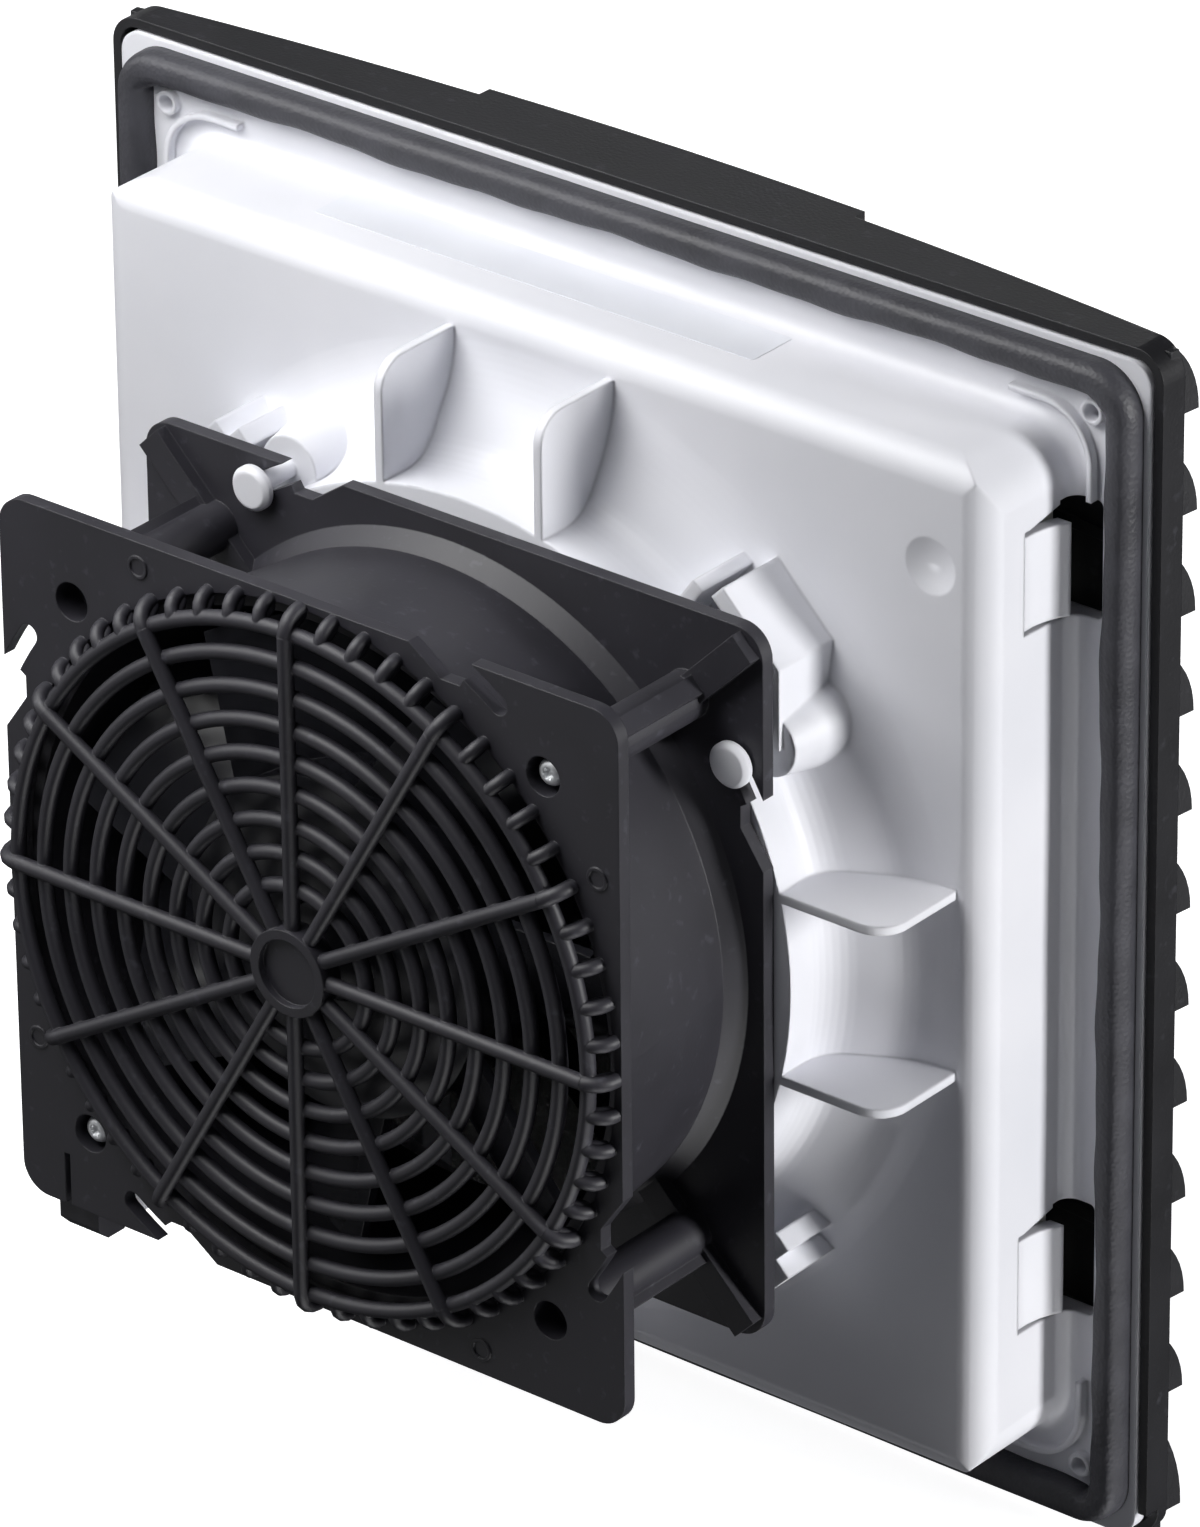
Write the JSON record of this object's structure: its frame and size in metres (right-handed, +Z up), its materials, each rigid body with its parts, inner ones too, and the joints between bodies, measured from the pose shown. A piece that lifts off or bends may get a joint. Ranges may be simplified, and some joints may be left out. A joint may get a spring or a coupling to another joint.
{
  "type": "cabinet filter fan",
  "caption": "Filter fan for an electrical cabinet: light grey clip-in base with foam gasket and filter mat, black hinged louvre grille outside, twist-off black axial fan with finger guard inside.",
  "frame": {"origin": "centre of the mounting plane, the rear face of the flange that faces the cabinet wall", "axes": "+Y out of the flange's rear face into the cabinet, towards the fan; +Z up; -Y outside, towards the louvre grille"},
  "size_m": [0.204, 0.0987, 0.2035],
  "materials": {
    "base_plastic": "light grey moulded plastic, satin",
    "black_plastic": "black moulded plastic, fine grain",
    "impeller_plastic": "black moulded plastic, satin",
    "gasket_foam": "poured foam with a closed skin",
    "filter_fibre": "bonded fibre mat",
    "zinc_steel": "bright zinc",
    "terminal_plastic": "light grey moulded plastic",
    "tube_brass": "turned",
    "motor_steel": "laminated or turned steel",
    "coil_copper": "enamelled copper wire"
  },
  "bodies": {
    "housing": {"housing_frame": "base_plastic", "gasket": "gasket_foam", "filter_mat": "filter_fibre", "hinge_pins": "zinc_steel"},
    "clip_upper_right": {"snap_clip_upper_right": "base_plastic"},
    "clip_lower_right": {"snap_clip_lower_right": "base_plastic"},
    "clip_upper_left": {"snap_clip_upper_left": "base_plastic"},
    "clip_lower_left": {"snap_clip_lower_left": "base_plastic"},
    "grille": {"louvre_grille": "black_plastic"},
    "fan_unit": {"fan_frame": "black_plastic", "guard_plate": "black_plastic", "guard_screws": "zinc_steel", "terminal_cap": "black_plastic", "terminal_body": "terminal_plastic", "bearing_tube": "tube_brass", "bearing_inlet": "zinc_steel", "bearing_outlet": "zinc_steel", "stator_core": "motor_steel", "winding": "coil_copper"},
    "rotor": {"impeller": "impeller_plastic", "rotor_can": "motor_steel", "rotor_cage": "motor_steel", "shaft": "zinc_steel", "retaining_clip": "zinc_steel"}
  },
  "joints": [
    {"name": "grille_hinge", "type": "hinge", "parent": "housing", "child": "grille", "pos_m": [0, -0.0044, -0.1002], "axis": [1, 0, 0], "range_deg": [0, 90]},
    {"name": "fan_twist", "type": "hinge", "parent": "housing", "child": "fan_unit", "pos_m": [0, 0.0389, 0], "axis": [0, 1, 0], "range_deg": [0, 12]},
    {"name": "impeller_spin", "type": "hinge", "parent": "fan_unit", "child": "rotor", "pos_m": [0, 0.055, 0], "axis": [0, 1, 0], "continuous": true},
    {"name": "clip_upper_right_flex", "type": "hinge", "parent": "housing", "child": "clip_upper_right", "pos_m": [-0.08515, 0.0108, 0.06485], "axis": [0, 0, 1], "range_deg": [0, 12], "stiffness_Nm_per_rad": 0.8},
    {"name": "clip_lower_right_flex", "type": "hinge", "parent": "housing", "child": "clip_lower_right", "pos_m": [-0.08515, 0.0108, -0.05445], "axis": [0, 0, 1], "range_deg": [0, 12], "stiffness_Nm_per_rad": 0.8},
    {"name": "clip_upper_left_flex", "type": "hinge", "parent": "housing", "child": "clip_upper_left", "pos_m": [0.08515, 0.0108, 0.06485], "axis": [0, 0, -1], "range_deg": [0, 12], "stiffness_Nm_per_rad": 0.8},
    {"name": "clip_lower_left_flex", "type": "hinge", "parent": "housing", "child": "clip_lower_left", "pos_m": [0.08515, 0.0108, -0.05445], "axis": [0, 0, -1], "range_deg": [0, 12], "stiffness_Nm_per_rad": 0.8}
  ]
}
